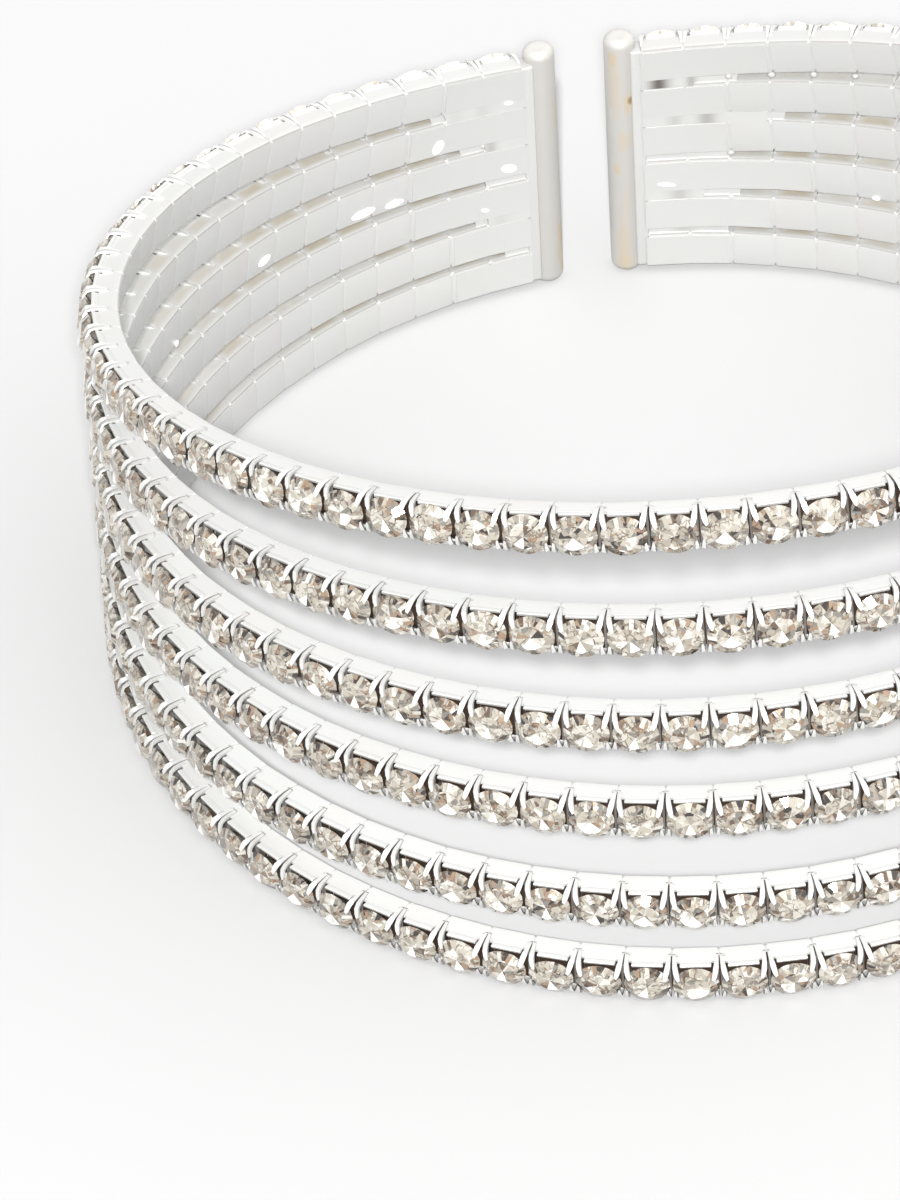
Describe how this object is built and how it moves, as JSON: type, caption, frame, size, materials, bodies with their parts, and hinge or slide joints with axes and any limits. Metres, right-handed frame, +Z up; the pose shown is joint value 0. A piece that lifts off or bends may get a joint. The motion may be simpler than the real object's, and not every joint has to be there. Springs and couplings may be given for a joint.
{
  "type": "cuff bangle",
  "caption": "Open wrist cuff of rhinestone chain rows that spread apart towards the front, soldered at the back to two upright end bars.",
  "frame": {"origin": "centre of the bounding box, on the surface that the bangle stands on", "axes": "+Z up along the wrist; -Y the tall front, +Y the wrist gap between the end bars; +X the wearer's side with end_bar_right"},
  "size_m": [0.0628, 0.0626, 0.0304],
  "materials": {
    "silver_plate": "bright silver plating on pressed brass cups",
    "worn_silver_plate": "silver plating tarnished brown and yellow by the solder joints",
    "clear_stone": "clear faceted glass with a foil back; seen only in the visual model"
  },
  "bodies": {
    "root": {"chain_row_1": "silver_plate", "chain_row_2": "silver_plate", "chain_row_3": "silver_plate", "chain_row_4": "silver_plate", "chain_row_5": "silver_plate", "chain_row_6": "silver_plate", "end_bar_left": "worn_silver_plate", "end_bar_right": "worn_silver_plate"}
  },
  "joints": []
}
